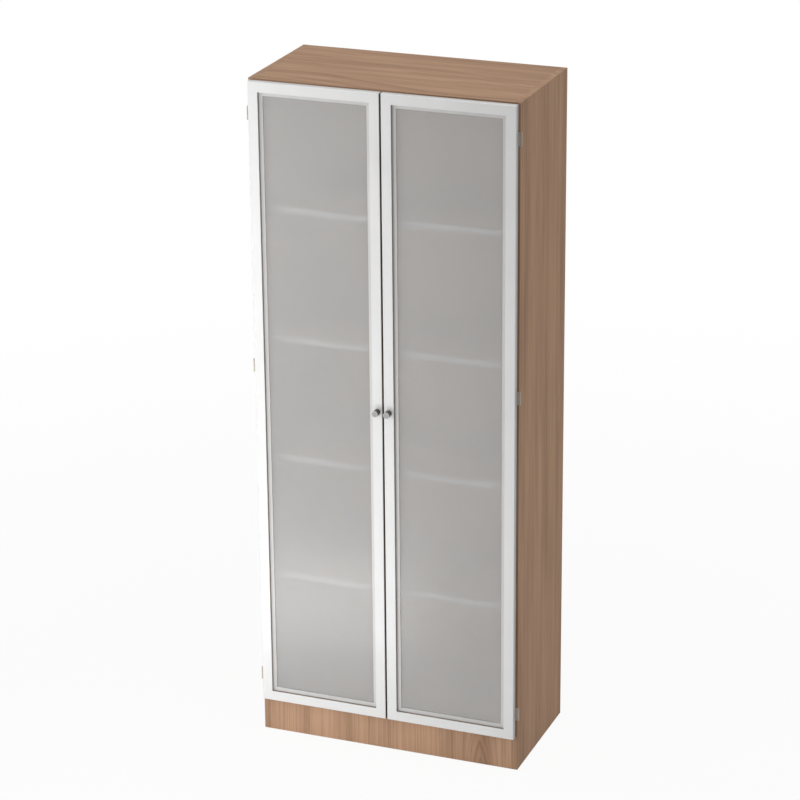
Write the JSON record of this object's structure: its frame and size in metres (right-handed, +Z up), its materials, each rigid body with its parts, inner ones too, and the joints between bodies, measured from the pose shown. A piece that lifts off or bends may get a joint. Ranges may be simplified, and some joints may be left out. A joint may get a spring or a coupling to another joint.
{
  "type": "bookcase with glass doors",
  "caption": "Tall walnut-look bookcase with adjustable shelves behind a pair of hinged, aluminium-framed frosted glass doors with round knobs.",
  "frame": {"origin": "on the floor, under the middle of the whole bookcase with its knobs and hinge barrels", "axes": "+Z up, the doors face -Y, +X to the right seen from the front"},
  "size_m": [0.8106, 0.44, 2.004],
  "materials": {
    "walnut_board": "matt walnut-look board",
    "frame_aluminium": "satin anodised",
    "frosted_glass": "satin frosted",
    "gasket_rubber": "matt grey",
    "knob_nickel": "brushed nickel",
    "hinge_steel": "warm grey lacquer",
    "screw_steel": "zinc plated",
    "plated_steel": "zinc plated",
    "catch_plastic": "fine moulded",
    "magnet": "dark ferrite",
    "beech": "raw fluted beech",
    "key_zinc": "raw casting"
  },
  "bodies": {
    "carcass": {"back_panel": "walnut_board", "bottom_panel": "walnut_board", "catch_housing_left": "catch_plastic", "catch_housing_right": "catch_plastic", "catch_magnets": "magnet", "catch_screws": "screw_steel", "hinge_carcass_leaf_left_bottom": "hinge_steel", "hinge_carcass_leaf_left_middle": "hinge_steel", "hinge_carcass_leaf_left_top": "hinge_steel", "hinge_carcass_leaf_right_bottom": "hinge_steel", "hinge_carcass_leaf_right_middle": "hinge_steel", "hinge_carcass_leaf_right_top": "hinge_steel", "hinge_pins_left": "hinge_steel", "hinge_pins_right": "hinge_steel", "hinge_screws_carcass": "screw_steel", "joint_dowels": "beech", "plinth_front": "walnut_board", "plinth_rear": "walnut_board", "shelf_1": "walnut_board", "shelf_2": "walnut_board", "shelf_3": "walnut_board", "shelf_4": "walnut_board", "shelf_pins": "plated_steel", "side_panel_left": "walnut_board", "side_panel_right": "walnut_board", "top_panel": "walnut_board"},
    "left_door": {"bottom_rail_left": "frame_aluminium", "corner_keys_left": "key_zinc", "glass_pane_left": "frosted_glass", "glazing_gasket_left": "gasket_rubber", "hinge_door_leaf_left_bottom": "hinge_steel", "hinge_door_leaf_left_middle": "hinge_steel", "hinge_door_leaf_left_top": "hinge_steel", "hinge_screws_door_left": "screw_steel", "hinge_stile_left": "frame_aluminium", "knob_left": "knob_nickel", "knob_screw_left": "screw_steel", "lock_stile_left": "frame_aluminium", "strike_plate_left": "plated_steel", "strike_screw_left": "screw_steel", "top_rail_left": "frame_aluminium"},
    "right_door": {"bottom_rail_right": "frame_aluminium", "corner_keys_right": "key_zinc", "glass_pane_right": "frosted_glass", "glazing_gasket_right": "gasket_rubber", "hinge_door_leaf_right_bottom": "hinge_steel", "hinge_door_leaf_right_middle": "hinge_steel", "hinge_door_leaf_right_top": "hinge_steel", "hinge_screws_door_right": "screw_steel", "hinge_stile_right": "frame_aluminium", "knob_right": "knob_nickel", "knob_screw_right": "screw_steel", "lock_stile_right": "frame_aluminium", "strike_plate_right": "plated_steel", "strike_screw_right": "screw_steel", "top_rail_right": "frame_aluminium"}
  },
  "joints": [
    {"name": "left_door_hinge", "type": "hinge", "parent": "carcass", "child": "left_door", "pos_m": [-0.4028, -0.1785, 1.0525], "axis": [0, 0, -1], "range_deg": [0, 180]},
    {"name": "right_door_hinge", "type": "hinge", "parent": "carcass", "child": "right_door", "pos_m": [0.4028, -0.1785, 1.0525], "axis": [0, 0, 1], "range_deg": [0, 180]}
  ]
}
